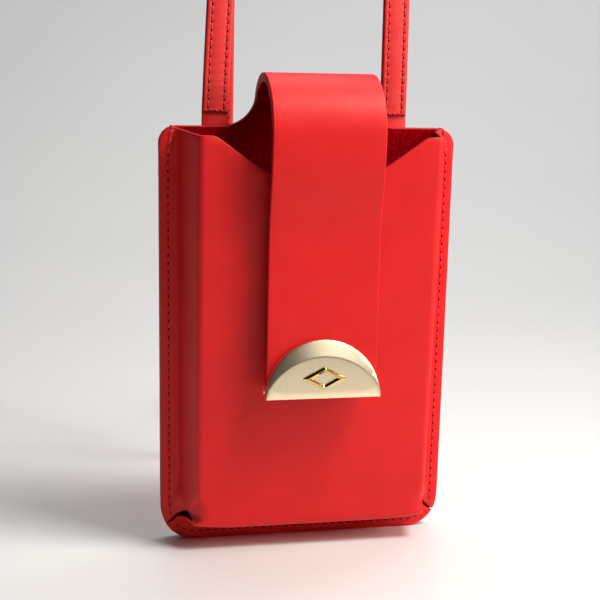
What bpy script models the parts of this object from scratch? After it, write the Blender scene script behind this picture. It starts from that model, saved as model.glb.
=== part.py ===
"""Phone wallet case: a moulded leather pouch with a fold-over flap, a half-moon clasp and a
shoulder strap. Metres, +X to the right of someone facing the front, +Y to the back, +Z up.

The back panel, the bend over the top and the flap are one strip of leather on the real object.
They are three nodes here, because the flap turns about the bend.
"""

import math

import bmesh
import bpy
from mathutils import Matrix, Vector

GAP = 0.0003  # between touching pieces

# Back panel
PANEL_HEIGHT = 0.1700
PANEL_HALF_TOP = 0.0607
PANEL_HALF_BOTTOM = 0.0593
BOTTOM_CORNER_RADIUS = 0.0137
TOP_CORNER_RADIUS = 0.0070
TONGUE_HALF = 0.0222
TONGUE_FILLET = (0.0140, 0.0120)  # across and up
TONGUE_TOP = PANEL_HEIGHT + TONGUE_FILLET[1]

# Layers of the back and of the flap, from the pouch outwards
POUCH_BACK_Y = 0.0150  # front face of the back lining
LINING = 0.0007
STIFFENER = 0.0006
LEATHER = 0.0017
LAYERS = LINING + GAP + STIFFENER + GAP + LEATHER
REAR_Y = POUCH_BACK_Y + LAYERS
STIFFENER_INSET = 0.0080

# Card pocket on the back lining
POCKET_HALF = 0.0460
POCKET_BOTTOM = 0.0560
POCKET_TOP = 0.1130
POCKET_CORNER = 0.0060
POCKET_LEATHER = 0.0010
POCKET_SEAM_MARGIN = 0.0025
THUMB_RADIUS = 0.0090

# Moulded front
DEPTH_TOP = 0.0260  # from the back lining to the front's outer face, at PANEL_HEIGHT
DEPTH_BOTTOM = 0.0190
FRONT_TOP = 0.1676  # at the fold; it rises towards the flange, which reaches PANEL_HEIGHT
FRONT_TOP_RISE = 0.0013
FLANGE = 0.0070
SIDE_LEAN = 0.0048
BOTTOM_LEAN = 0.0026
CORNER_LIFT = 0.0015  # the bottom wall is drawn up towards the corners
LIFT_START = 0.0300
LIFT_END = 0.0480
BASE_ROUND = 0.0022
FOLD_ROUND = 0.0030
FRONT_LEATHER = 0.0017
FLANGE_DEPTH = GAP + FRONT_LEATHER
FRONT_LINING = 0.0006
FRONT_LINING_HALF = 0.0405
FRONT_LINING_BOTTOM = 0.0175
FRONT_LINING_CORNER = 0.0050
FRONT_LINING_DROP = 0.0010  # below the front's own edge in the notch
LEAN_ANGLE = math.atan((DEPTH_TOP - DEPTH_BOTTOM) / PANEL_HEIGHT)
NOTCH_BOTTOM = 0.1490
NOTCH_RADIUS = 0.0500
NOTCH_SLOPE = math.radians(35.3)
MITRE = [(0.0597, 0.0046), (0.0549, 0.0091), (0.0502, 0.0152), (0.0484, 0.0124), (0.0543, 0.0086)]

# Flap: two arcs over the top, then a shallow S down to a straight end
REAR_BEND = 0.0095
FRONT_BEND = 0.0300
FLAP_OUTER_DEPTH = 0.0310
FLAP_BULGE = 0.0049
S_RADIUS = 0.1220
FLAP_END_Z = 0.0668
FLAP_BOARD_HALF = 0.0185
FLAP_BOARD_MARGIN = 0.0040
BEND_END = math.radians(134.4)  # where the bend meets the moving flap, round the front arc
HINGE_Y = POUCH_BACK_Y - 0.0170
HINGE_Z = 0.1820

# Clasp and snap
CHORD_Z = 0.0663
CLASP_RADIUS = 0.0230
CLASP_THICKNESS = 0.0038
FACE_RADIUS = 0.0253
FACE_CENTRE_Z = 0.0578
BEVEL_RUN = 0.0062
BEVEL_DROP = 0.0022
BACK_PLATE_RADIUS = 0.0226
BACK_PLATE = 0.0005
BACK_PLATE_LIFT = 0.0008
EMBLEM_HALF_WIDTH = 0.0090
EMBLEM_HALF_HEIGHT = 0.0047
EMBLEM_Z = 0.0745
EMBLEM = 0.0009
SCREW_X = 0.0130
SCREW_Z = 0.0728
SCREW_RADIUS = 0.0010
SCREW_HEAD_RADIUS = 0.0019
SCREW_HEAD = 0.0006
SCREW_REACH = 0.0022  # into the clasp
MAGNET_RADIUS = 0.0060
MAGNET = 0.0013
MAGNET_ROOM = 0.0019
SNAP_Z = 0.0750
SOCKET_RADIUS = 0.0070
SOCKET_THICKNESS = 0.0017
SOCKET_LIFT = 0.0005  # the front leans, so a flat ring needs this room
SOCKET_PLAY = 0.0004
STUD_RADIUS = 0.0027
RIVET_RADIUS = 0.0012
RIVET_CAP_RADIUS = 0.0025
RIVET_CAP = 0.0008
RIVET_TAIL_RADIUS = 0.0021
RIVET_TAIL = 0.0005
WASHER_RADIUS = 0.0060
WASHER = 0.0006

# Stitching
THREAD_RADIUS = 0.0003
SEAM_MARGIN = 0.0032
SEAM_TOP_MARGIN = 0.0048

# Strap
STRAP_WIDTH = 0.0108
STRAP_THICKNESS = 0.0031
STRAP_STATIONS = 84
STRAP_CORNER = 0.0007
TAB_THICKNESS = 0.0016
TAB_BOTTOM = 0.1450
TAB_CORNER = 0.0030
TAB_SEAM_TOP = 0.1660
TAB_SEAM_MARGIN = 0.0022

CUT = 0.10  # cutters run right through a piece

# The strap's middle line from the left tab to the right one: x, y, z and the roll of its width
# from +X towards +Z. It rises, arches back, comes down behind the pouch and makes one loop on
# its edge where it lies on the surface.
STRAP_ROUTE = [
    (-0.0377, 0.0197, 0.1753, 0),
    (-0.0372, 0.0197, 0.1900, 0),
    (-0.0366, 0.0197, 0.2050, 0),
    (-0.0360, 0.0197, 0.2190, 0),
    (-0.0354, 0.0203, 0.2310, 0),
    (-0.0346, 0.0247, 0.2440, 0),
    (-0.0326, 0.0355, 0.2550, 0),
    (-0.0302, 0.0500, 0.2588, 0),
    (-0.0278, 0.0645, 0.2550, 0),
    (-0.0260, 0.0752, 0.2440, 0),
    (-0.0253, 0.0797, 0.2300, 0),
    (-0.0250, 0.0815, 0.2080, 0),
    (-0.0247, 0.0832, 0.1820, 0),
    (-0.0243, 0.0858, 0.1520, 0),
    (-0.0240, 0.0895, 0.1220, 0),
    (-0.0236, 0.0945, 0.0920, 0),
    (-0.0232, 0.1010, 0.0640, 0),
    (-0.0228, 0.1095, 0.0390, 0),
    (-0.0224, 0.1205, 0.0180, 0),
    (-0.0221, 0.1350, 0.0055, 2),
    (-0.0219, 0.1520, 0.0023, 10),
    (-0.0218, 0.1690, 0.0036, 34),
    (-0.0217, 0.1850, 0.0053, 68),
    (-0.0213, 0.2010, 0.0057, 88),
    (-0.0180, 0.2180, 0.0057, 90),
    (-0.0080, 0.2340, 0.0057, 90),
    (0.0080, 0.2430, 0.0057, 90),
    (0.0250, 0.2425, 0.0057, 90),
    (0.0400, 0.2330, 0.0057, 90),
    (0.0490, 0.2170, 0.0057, 90),
    (0.0510, 0.2000, 0.0057, 92),
    (0.0512, 0.1840, 0.0053, 112),
    (0.0513, 0.1680, 0.0036, 146),
    (0.0515, 0.1510, 0.0023, 170),
    (0.0518, 0.1345, 0.0055, 178),
    (0.0522, 0.1205, 0.0180, 180),
    (0.0526, 0.1095, 0.0390, 180),
    (0.0531, 0.1010, 0.0640, 180),
    (0.0536, 0.0945, 0.0920, 180),
    (0.0540, 0.0895, 0.1220, 180),
    (0.0544, 0.0858, 0.1520, 180),
    (0.0544, 0.0832, 0.1820, 180),
    (0.0543, 0.0815, 0.2080, 180),
    (0.0541, 0.0797, 0.2300, 180),
    (0.0528, 0.0752, 0.2440, 180),
    (0.0496, 0.0645, 0.2550, 180),
    (0.0452, 0.0500, 0.2588, 180),
    (0.0408, 0.0355, 0.2550, 180),
    (0.0376, 0.0247, 0.2440, 180),
    (0.0363, 0.0203, 0.2310, 180),
    (0.0361, 0.0197, 0.2190, 180),
    (0.0361, 0.0197, 0.2050, 180),
    (0.0361, 0.0197, 0.1900, 180),
    (0.0361, 0.0197, 0.1747, 180),
]


def clear_scene():
    for old in list(bpy.data.objects):
        bpy.data.objects.remove(old)


def collection(name):
    made = bpy.data.collections.new(name)
    bpy.context.scene.collection.children.link(made)
    return made


def material(name, colour, roughness, metallic=0.0):
    made = bpy.data.materials.new(name)
    made.use_nodes = True
    shader = made.node_tree.nodes["Principled BSDF"]
    shader.inputs["Base Color"].default_value = (*colour, 1.0)
    shader.inputs["Roughness"].default_value = roughness
    shader.inputs["Metallic"].default_value = metallic
    return made


clear_scene()
PARTS = collection("phone_wallet_case")
CUTTERS = collection("cutters")
RED_LEATHER = material("red_leather", (0.62, 0.012, 0.012), 0.45)
RED_SUEDE = material("red_suede", (0.17, 0.004, 0.008), 0.95)
RED_THREAD = material("red_thread", (0.36, 0.006, 0.012), 0.7)
BOARD = material("board", (0.35, 0.30, 0.24), 0.9)
GOLD = material("champagne_gold", (0.78, 0.60, 0.33), 0.3, 1.0)
STEEL = material("steel", (0.55, 0.55, 0.56), 0.35, 1.0)


def ellipse(centre, radii, start, end, steps):
    """Points along an elliptical arc, its angles in radians from +X towards +Z."""
    turns = [start + (end - start) * step / steps for step in range(steps + 1)]
    return [(centre[0] + radii[0] * math.cos(a), centre[1] + radii[1] * math.sin(a)) for a in turns]


def arc(centre, radius, start, end, steps):
    return ellipse(centre, (radius, radius), start, end, steps)


def mirrored(half):
    """A closed outline from its half at +X, which runs from the bottom to the top."""
    return half + [(-x, z) for x, z in reversed(half)]


def panel_half(z):
    """Half the back panel's width at height z."""
    return PANEL_HALF_BOTTOM + (PANEL_HALF_TOP - PANEL_HALF_BOTTOM) * z / PANEL_HEIGHT


def front_depth(z):
    """The front's outer face, from the back lining, at height z."""
    return DEPTH_BOTTOM + (DEPTH_TOP - DEPTH_BOTTOM) * z / PANEL_HEIGHT


def panel_outline(inset=0.0):
    """The back panel with its tongue, which the flap grows from."""
    low, high = BOTTOM_CORNER_RADIUS, TOP_CORNER_RADIUS
    half = arc((PANEL_HALF_BOTTOM - low, low), low - inset, -math.pi / 2, 0, 8)
    top_centre = (PANEL_HALF_TOP - high, PANEL_HEIGHT - high)
    half += arc(top_centre, max(high - inset, 0.0005), 0, math.pi / 2, 6)
    across, up = TONGUE_FILLET
    fillet_centre = (TONGUE_HALF + across, TONGUE_TOP)
    half += ellipse(fillet_centre, (across + inset, up + inset), 1.5 * math.pi, math.pi, 7)
    return mirrored(half)


def place(obj, surface, group=None):
    obj.data.materials.clear()
    obj.data.materials.append(surface)
    (group or PARTS).objects.link(obj)
    return obj


def as_cutter(obj):
    obj.display_type = "WIRE"
    obj.hide_render = True
    CUTTERS.objects.link(obj)
    return obj


def prism(name, outlines, length, matrix):
    """A mesh object from flat outlines in its local XY, the later ones holes, extruded along Z."""
    curve = bpy.data.curves.new(name, "CURVE")
    curve.dimensions = "2D"
    curve.fill_mode = "BOTH"
    curve.extrude = length / 2
    for outline in outlines:
        spline = curve.splines.new("POLY")
        spline.points.add(len(outline) - 1)
        for point, (x, y) in zip(spline.points, outline):
            point.co = (x, y, 0, 1)
        spline.use_cyclic_u = True
    flat = bpy.data.objects.new(name + "_outline", curve)
    bpy.context.scene.collection.objects.link(flat)
    graph = bpy.context.evaluated_depsgraph_get()
    mesh = bpy.data.meshes.new_from_object(flat.evaluated_get(graph))
    bpy.data.objects.remove(flat)
    body = bmesh.new()
    body.from_mesh(mesh)
    bmesh.ops.remove_doubles(body, verts=body.verts, dist=0.00001)
    bmesh.ops.recalc_face_normals(body, faces=body.faces)
    body.to_mesh(mesh)
    body.free()
    obj = bpy.data.objects.new(name, mesh)
    obj.matrix_world = matrix
    return obj


def sheet(name, outlines, near, thickness, lean=0.0):
    """A flat piece facing the front: near is its front face's depth from the back lining."""
    middle = Matrix.Translation((0, POUCH_BACK_Y - near + thickness / 2, 0))
    return prism(name, outlines, thickness, middle @ Matrix.Rotation(lean + math.pi / 2, 4, "X"))


def strip(name, outline, half_width):
    """A piece with one side view, outline in Y and Z, over its whole width."""
    sideways = Matrix(((0, 0, 1, 0), (1, 0, 0, 0), (0, 1, 0, 0), (0, 0, 0, 1)))
    return prism(name, [outline], 2 * half_width, sideways)


def turned(name, profile, x, z, steps=20):
    """A turned piece whose axis runs from back to front. profile is (radius, depth), front first."""
    mesh = bpy.data.meshes.new(name)
    points = [(radius, 0, depth) for radius, depth in profile]
    mesh.from_pydata(points, [(i, i + 1) for i in range(len(points) - 1)], [])
    obj = bpy.data.objects.new(name, mesh)
    obj.location = (x, POUCH_BACK_Y, z)
    obj.rotation_euler = (math.pi / 2, 0, 0)
    screw = obj.modifiers.new("turn", "SCREW")
    screw.steps = steps
    screw.render_steps = steps
    screw.use_merge_vertices = True
    screw.merge_threshold = 0.00001
    screw.use_smooth_shade = True
    return obj


def boolean(obj, other, operation="DIFFERENCE"):
    cut = obj.modifiers.new(other.name, "BOOLEAN")
    cut.operation = operation
    cut.object = other


def circle(x, z, radius, steps=20):
    return arc((x, z), radius, 0, 2 * math.pi * (steps - 1) / steps, steps - 1)


def thread(name, points, depth, closed=False):
    """A row of stitches as one plain thread. points are in X and Z, depth from the back lining."""
    curve = bpy.data.curves.new(name, "CURVE")
    curve.dimensions = "3D"
    curve.bevel_depth = THREAD_RADIUS
    curve.bevel_resolution = 1
    curve.use_fill_caps = not closed
    spline = curve.splines.new("POLY")
    spline.points.add(len(points) - 1)
    for point, (x, z) in zip(spline.points, points):
        point.co = (x, POUCH_BACK_Y - depth, z, 1)
    spline.use_cyclic_u = closed
    return place(bpy.data.objects.new(name, curve), RED_THREAD)


# --- Back -----------------------------------------------------------------------------------


def make_back():
    place(sheet("back_panel", [panel_outline()], LEATHER - LAYERS, LEATHER), RED_LEATHER)
    inner = panel_outline(STIFFENER_INSET)
    place(sheet("back_stiffener", [inner], -LINING - GAP, STIFFENER), BOARD)
    place(sheet("back_lining", [panel_outline()], 0.0, LINING), RED_SUEDE)


def make_card_pocket():
    """A flat slip pocket for cards, sewn to the lining on three sides, with a thumb notch."""
    corner_centre = (POCKET_HALF - POCKET_CORNER, POCKET_BOTTOM + POCKET_CORNER)
    right = arc(corner_centre, POCKET_CORNER, -math.pi / 2, 0, 4)
    right.append((POCKET_HALF, POCKET_TOP))
    right += arc((0, POCKET_TOP), THUMB_RADIUS, 0, -math.pi / 2, 6)
    front = GAP + POCKET_LEATHER
    place(sheet("card_pocket", [mirrored(right)], front, POCKET_LEATHER), RED_LEATHER)
    edge, low = POCKET_HALF - POCKET_SEAM_MARGIN, POCKET_BOTTOM + POCKET_SEAM_MARGIN
    side = [(edge, low), (edge, POCKET_TOP - 0.001)]
    thread("pocket_thread", [(-x, z) for x, z in reversed(side)] + side, front + GAP + THREAD_RADIUS)


# --- Moulded front --------------------------------------------------------------------------


def rounded(a, corner, b, cut, steps):
    """Points from the side towards a to the side towards b, round a corner."""
    corner = Vector(corner)
    start = corner + (Vector(a) - corner).normalized() * cut
    end = corner + (Vector(b) - corner).normalized() * cut
    points = []
    for step in range(steps + 1):
        t = step / steps
        points.append(start.lerp(corner, t).lerp(corner.lerp(end, t), t))
    return points


def wall_profile(lean):
    """(inset, share of the rise) from the flange's outer edge to just past the fold."""
    rise = DEPTH_TOP - FLANGE_DEPTH
    edge, foot, fold = (0.0, 0.0), (FLANGE, 0.0), (FLANGE + lean, rise)
    inside = (FLANGE + lean + 0.02, rise)
    points = [Vector(edge)]
    points += rounded(edge, foot, fold, BASE_ROUND, 3)
    points += rounded(foot, fold, inside, FOLD_ROUND, 4)
    return [(p.x, p.y / rise) for p in points]


def corner_lift(x, z):
    """How far the front's surface is drawn up at x. The flange's outer edge stays where it is."""
    past = min(max(abs(x) - LIFT_START, 0.0) / (LIFT_END - LIFT_START), 1.0)
    return CORNER_LIFT * past**2 * (1 - z / PANEL_HEIGHT) if z > 0 else 0.0


def moulded_grid():
    """The front's outer face as a grid. A point's depth is the lower of the rise from its side
    and the rise from the bottom, so the walls meet in a mitre at the corners."""
    side, base = wall_profile(SIDE_LEAN), wall_profile(BOTTOM_LEAN)
    across = [(-1, inset, share) for inset, share in side]
    across += [(0, x, 1.0) for x in (-0.028, -0.014, 0.0, 0.014, 0.028)]
    across += [(1, inset, share) for inset, share in reversed(side)]
    upward = list(base)
    first = base[-1][0]
    rows = 9
    last = PANEL_HEIGHT + GAP
    upward += [(first + (last - first) * (row + 1) / rows, 1.0) for row in range(rows)]
    body = bmesh.new()
    grid = []
    for z, rise in upward:
        line = []
        for sign, place_x, share in across:
            x = sign * (panel_half(z) - place_x) if sign else place_x
            depth = FLANGE_DEPTH + min(share, rise) * (front_depth(z) - FLANGE_DEPTH)
            line.append(body.verts.new((x, POUCH_BACK_Y - depth, z + corner_lift(x, z))))
        grid.append(line)
    for low, high in zip(grid, grid[1:]):
        for k in range(len(low) - 1):
            body.faces.new((low[k], low[k + 1], high[k + 1], high[k]))
    mesh = bpy.data.meshes.new("front_panel")
    body.to_mesh(mesh)
    body.free()
    return mesh


def notch_outline(drop=0.0):
    """What is cut from the front's top: the wide notch, then the edge that rises to the flange."""
    centre = (0, NOTCH_BOTTOM + NOTCH_RADIUS - drop)
    bowl = arc(centre, NOTCH_RADIUS, -math.pi / 2, -math.pi / 2 + NOTCH_SLOPE, 6)
    reach = (FRONT_TOP - bowl[-1][1]) / math.tan(NOTCH_SLOPE)
    foot = PANEL_HALF_TOP - FLANGE
    edge = [(bowl[-1][0] + reach, FRONT_TOP), (foot - SIDE_LEAN, FRONT_TOP)]
    edge += [(foot, FRONT_TOP + FRONT_TOP_RISE), (foot + 0.0015, PANEL_HEIGHT + 0.010)]
    return mirrored(bowl[1:] + edge)


def make_front():
    front = bpy.data.objects.new("front_panel", moulded_grid())
    place(front, RED_LEATHER)
    skin = front.modifiers.new("leather", "SOLIDIFY")
    skin.thickness = FRONT_LEATHER
    skin.offset = -1
    skin.use_even_offset = True
    boolean(front, as_cutter(sheet("front_trim", [panel_outline()], CUT / 2, CUT)), "INTERSECT")
    boolean(front, as_cutter(sheet("front_notch", [notch_outline()], CUT / 2, CUT)))
    # The open mitre at a bottom corner: a slit in the flange that widens between the walls
    for side, word in ((-1, "left"), (1, "right")):
        outline = [(side * x, z) for x, z in MITRE]
        boolean(front, as_cutter(sheet("mitre_" + word, [outline], CUT / 2, CUT)))
    rivet_hole = circle(0, SNAP_Z, RIVET_RADIUS + GAP, 16)
    boolean(front, as_cutter(sheet("rivet_hole", [rivet_hole], CUT / 2, CUT)))

    half, corner = FRONT_LINING_HALF, FRONT_LINING_CORNER
    corner_centre = (half - corner, FRONT_LINING_BOTTOM + corner)
    right = arc(corner_centre, corner, -math.pi / 2, 0, 4)
    bowl = notch_outline(FRONT_LINING_DROP)
    slope = [p for p in bowl[: len(bowl) // 2] if p[0] < half]
    top = slope[-1][1] + (half - slope[-1][0]) * math.tan(NOTCH_SLOPE)
    right += [(half, top)] + list(reversed(slope))
    near = DEPTH_BOTTOM - FRONT_LEATHER - GAP
    lining = sheet("front_lining", [mirrored(right), rivet_hole], near, FRONT_LINING, LEAN_ANGLE)
    place(lining, RED_SUEDE)


def make_seams():
    """The stitch line, in three threads: down each side to the mitre, and along the bottom."""
    low = BOTTOM_CORNER_RADIUS
    centre = (PANEL_HALF_BOTTOM - low, low)
    depth = FLANGE_DEPTH + GAP + THREAD_RADIUS
    corner = arc(centre, low - SEAM_MARGIN, -math.pi / 2, 0, 12)
    at_mitre = len(corner) // 2
    side = corner[at_mitre + 1 :]
    turn_z = PANEL_HEIGHT - 0.0160
    side.append((panel_half(turn_z) - SEAM_MARGIN, turn_z))
    side.append((PANEL_HALF_TOP - SEAM_TOP_MARGIN, FRONT_TOP))
    bottom = corner[:at_mitre]
    thread("seam_thread_right", side, depth)
    thread("seam_thread_left", [(-x, z) for x, z in side], depth)
    thread("seam_thread_bottom", [(-x, z) for x, z in reversed(bottom)] + bottom[1:], depth)


# --- Flap -----------------------------------------------------------------------------------


def flap_side(inward, start, end):
    """One side of the strip in Y and Z, inward from its outer face. start and end are shares of
    its four parts: 0 to 1 the rear arc, 1 to 2 the front arc, 2 to 4 the S, then straight."""
    rear_centre = (REAR_Y - REAR_BEND, TONGUE_TOP)
    front_centre = (rear_centre[0], TONGUE_TOP + REAR_BEND - FRONT_BEND)
    turn = math.acos(1 - FLAP_BULGE / (2 * S_RADIUS))
    upper = (front_centre[0] - FRONT_BEND + S_RADIUS, front_centre[1])
    away = math.pi + turn
    lower = (upper[0] + 2 * S_RADIUS * math.cos(away), upper[1] + 2 * S_RADIUS * math.sin(away))
    parts = [
        (rear_centre, REAR_BEND - inward, 0.0, math.pi / 2, 6),
        (front_centre, FRONT_BEND - inward, math.pi / 2, math.pi, 10),
        (upper, S_RADIUS - inward, math.pi, away, 3),
        (lower, S_RADIUS + inward, turn, 0.0, 3),
    ]
    points = []
    for k, (centre, radius, a, b, steps) in enumerate(parts):
        first, last = max(start - k, 0), min(end - k, 1)
        if first < last:
            steps = max(2, round(steps * (last - first)))
            points += arc(centre, radius, a + (b - a) * first, a + (b - a) * last, steps)
    tidy = points[:1]
    for point in points[1:]:
        if math.dist(point, tidy[-1]) > 0.00001:
            tidy.append(point)
    return tidy


def flap_layer(name, surface, near, thickness, start, end, end_z=None, half=TONGUE_HALF):
    """near is the layer's outer face, inward from the flap's own outer face."""
    outer, inner = (flap_side(d, start, end) for d in (near, near + thickness))
    if end_z is not None:
        outer.append((outer[-1][0], end_z))
        inner.append((inner[-1][0], end_z))
    layer = strip(name, outer + list(reversed(inner)), half)
    return place(layer, surface)


def make_flap():
    bend_end = 1 + (BEND_END - math.pi / 2) / (math.pi / 2)
    bend_gap = GAP / (FRONT_BEND * math.pi / 2)
    rear_gap = GAP / (REAR_BEND * math.pi / 2) * 1.2
    lining_near = LAYERS - LINING
    flap_layer("flap_bend", RED_LEATHER, 0.0, LEATHER, rear_gap, bend_end)
    flap_layer("bend_lining", RED_SUEDE, lining_near, LINING, rear_gap * 1.5, bend_end)
    start = bend_end + 1.2 * bend_gap
    panel = flap_layer("flap_panel", RED_LEATHER, 0.0, LEATHER, start, 4, FLAP_END_Z)
    lining = flap_layer("flap_lining", RED_SUEDE, lining_near, LINING, start, 4, FLAP_END_Z)
    board_start, board_end = start + 0.1, FLAP_END_Z + FLAP_BOARD_MARGIN
    near, half = LEATHER + GAP, FLAP_BOARD_HALF
    board = flap_layer("flap_stiffener", BOARD, near, STIFFENER, board_start, 4, board_end, half)
    for side, word in ((-1, "left"), (1, "right")):
        hole = circle(side * SCREW_X, SCREW_Z, SCREW_RADIUS + GAP, 12)
        drill = as_cutter(sheet("screw_hole_" + word, [hole], FLAP_OUTER_DEPTH + GAP, LAYERS + 2 * GAP))
        for layer in (panel, lining, board):
            boolean(layer, drill)


# --- Clasp and snap -------------------------------------------------------------------------


def half_moon(radius, chord_z, steps=32):
    """A half disc above its chord, the tips cut square."""
    low = math.asin(2 * GAP / radius)
    tip = radius * math.cos(low)
    bow = arc((0, chord_z), radius, low, math.pi - low, steps)
    return [(tip, chord_z)] + bow + [(-tip, chord_z)]


def bevel_cone(back, face):
    """The cone that falls back from the clasp's face, as a cutter."""
    slope = BEVEL_RUN / BEVEL_DROP
    cone = bmesh.new()
    bmesh.ops.create_cone(
        cone,
        cap_ends=True,
        segments=72,
        radius1=FACE_RADIUS + (CLASP_THICKNESS + GAP) * slope,
        radius2=FACE_RADIUS - GAP * slope,
        depth=CLASP_THICKNESS + 2 * GAP,
    )
    mesh = bpy.data.meshes.new("clasp_bevel")
    cone.to_mesh(mesh)
    cone.free()
    bevel = bpy.data.objects.new("clasp_bevel", mesh)
    bevel.location = (0, POUCH_BACK_Y - (back + face) / 2, FACE_CENTRE_Z)
    bevel.rotation_euler = (math.pi / 2, 0, 0)
    return as_cutter(bevel)


def make_clasp():
    back = FLAP_OUTER_DEPTH + GAP
    face = back + CLASP_THICKNESS
    shell = sheet("clasp_shell", [half_moon(CLASP_RADIUS, CHORD_Z)], face, CLASP_THICKNESS)
    place(shell, GOLD)
    boolean(shell, bevel_cone(back, face), "INTERSECT")
    room = circle(0, SNAP_Z, MAGNET_RADIUS + GAP, 24)
    boolean(shell, as_cutter(sheet("magnet_room", [room], back + MAGNET_ROOM, 2 * MAGNET_ROOM)))
    magnet = circle(0, SNAP_Z, MAGNET_RADIUS, 24)
    place(sheet("clasp_magnet", [magnet], back + GAP + MAGNET, MAGNET), STEEL)

    screw_front = back + SCREW_REACH
    holes = [circle(side * SCREW_X, SCREW_Z, SCREW_RADIUS + GAP, 12) for side in (-1, 1)]
    for hole, word in zip(holes, ("left", "right")):
        drill = sheet("thread_hole_" + word, [hole], screw_front + GAP, 2 * SCREW_REACH)
        boolean(shell, as_cutter(drill))

    lozenge = [(EMBLEM_HALF_WIDTH, 0), (0, EMBLEM_HALF_HEIGHT)]
    lozenge += [(-x, -z) for x, z in lozenge]
    lozenge = [(x, EMBLEM_Z + z) for x, z in lozenge]
    place(sheet("clasp_emblem", [lozenge], face + GAP + EMBLEM, EMBLEM), GOLD)

    plate_front = FLAP_OUTER_DEPTH - LAYERS - GAP
    plate_outline = half_moon(BACK_PLATE_RADIUS, CHORD_Z + BACK_PLATE_LIFT, 28)
    plate = sheet("clasp_back_plate", [plate_outline, *holes], plate_front, BACK_PLATE)
    place(plate, GOLD)

    head = plate_front - BACK_PLATE - GAP
    shank = [(0, screw_front), (SCREW_RADIUS, screw_front), (SCREW_RADIUS, head)]
    shank += [(SCREW_HEAD_RADIUS, head), (SCREW_HEAD_RADIUS, head - SCREW_HEAD), (0, head - SCREW_HEAD)]
    for side, word in ((-1, "left"), (1, "right")):
        place(turned("clasp_screw_" + word, shank, side * SCREW_X, SCREW_Z, 12), STEEL)

    cap = front_depth(SNAP_Z) + RIVET_CAP
    bevel = 0.0005
    stud = [(0, head), (STUD_RADIUS, head), (STUD_RADIUS, cap + GAP + bevel)]
    stud += [(STUD_RADIUS - bevel, cap + GAP), (0, cap + GAP)]
    place(turned("snap_stud", stud, 0, SNAP_Z), STEEL)


def make_snap():
    """The fixed half of the magnetic snap, riveted through the front."""
    seat = front_depth(SNAP_Z) + SOCKET_LIFT
    rings = [circle(0, SNAP_Z, SOCKET_RADIUS, 28), circle(0, SNAP_Z, STUD_RADIUS + SOCKET_PLAY, 20)]
    place(sheet("snap_socket", rings, seat + SOCKET_THICKNESS, SOCKET_THICKNESS), STEEL)

    inside = front_depth(SNAP_Z) - FRONT_LEATHER - GAP - FRONT_LINING - SOCKET_LIFT
    rings = [circle(0, SNAP_Z, WASHER_RADIUS, 24), circle(0, SNAP_Z, RIVET_RADIUS + GAP, 16)]
    place(sheet("snap_washer", rings, inside, WASHER), STEEL)

    cap_front = front_depth(SNAP_Z) + RIVET_CAP
    cap_back = cap_front - RIVET_CAP / 2
    tail = inside - WASHER - GAP
    profile = [(0, cap_front), (RIVET_CAP_RADIUS, cap_front), (RIVET_CAP_RADIUS, cap_back)]
    profile += [(RIVET_RADIUS, cap_back), (RIVET_RADIUS, tail), (RIVET_TAIL_RADIUS, tail)]
    profile += [(RIVET_TAIL_RADIUS, tail - RIVET_TAIL), (0, tail - RIVET_TAIL)]
    place(turned("snap_rivet", profile, 0, SNAP_Z, 16), STEEL)


# --- Strap ----------------------------------------------------------------------------------


def smooth_route(route, stations):
    """Evenly spaced points of a smooth curve through the route, roll included."""
    dense = []
    ends = [route[0]] + list(route) + [route[-1]]
    steps = 24
    for k in range(1, len(ends) - 2):
        a, b, c, d = (Vector(p) for p in ends[k - 1 : k + 3])
        for step in range(steps):
            t = step / steps
            bend = (2 * a - 5 * b + 4 * c - d) * t**2 + (3 * b - a - 3 * c + d) * t**3
            dense.append(0.5 * (2 * b + (c - a) * t + bend))
    dense.append(Vector(route[-1]))
    lengths = [0.0]
    for a, b in zip(dense, dense[1:]):
        lengths.append(lengths[-1] + (b.to_3d() - a.to_3d()).length)
    found, k = [], 0
    for station in range(stations):
        want = lengths[-1] * station / (stations - 1)
        while k < len(dense) - 2 and lengths[k + 1] < want:
            k += 1
        share = (want - lengths[k]) / max(lengths[k + 1] - lengths[k], 1e-9)
        found.append(dense[k].lerp(dense[k + 1], share))
    return found


def strap_frames(points):
    """(middle, across, through) at each station: across runs along the strap's width."""
    frames = []
    for k, point in enumerate(points):
        ahead = points[min(k + 1, len(points) - 1)].to_3d()
        behind = points[max(k - 1, 0)].to_3d()
        way = (ahead - behind).normalized()
        roll = math.radians(point.w)
        across = Vector((math.cos(roll), 0, math.sin(roll)))
        across = (across - way * across.dot(way)).normalized()
        frames.append((point.to_3d(), across, way.cross(across)))
    return frames


def strap_section():
    """The strap's section, across and through, with its corners cut."""
    w, t, c = STRAP_WIDTH / 2, STRAP_THICKNESS / 2, STRAP_CORNER
    corners = [(w - c, -t), (w, -t + c), (w, t - c), (w - c, t)]
    return corners + [(-a, b) for a, b in reversed(corners)]


def make_strap():
    body = bmesh.new()
    rings = []
    for middle, across, through in strap_frames(smooth_route(STRAP_ROUTE, STRAP_STATIONS)):
        ring = [body.verts.new(middle + across * a + through * b) for a, b in strap_section()]
        rings.append(ring)
    for low, high in zip(rings, rings[1:]):
        for k in range(len(low)):
            j = (k + 1) % len(low)
            body.faces.new((low[k], low[j], high[j], high[k]))
    body.faces.new(reversed(rings[0]))
    body.faces.new(rings[-1])
    bmesh.ops.recalc_face_normals(body, faces=body.faces)
    mesh = bpy.data.meshes.new("shoulder_strap")
    body.to_mesh(mesh)
    body.free()
    place(bpy.data.objects.new("shoulder_strap", mesh), RED_LEATHER)


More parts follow.
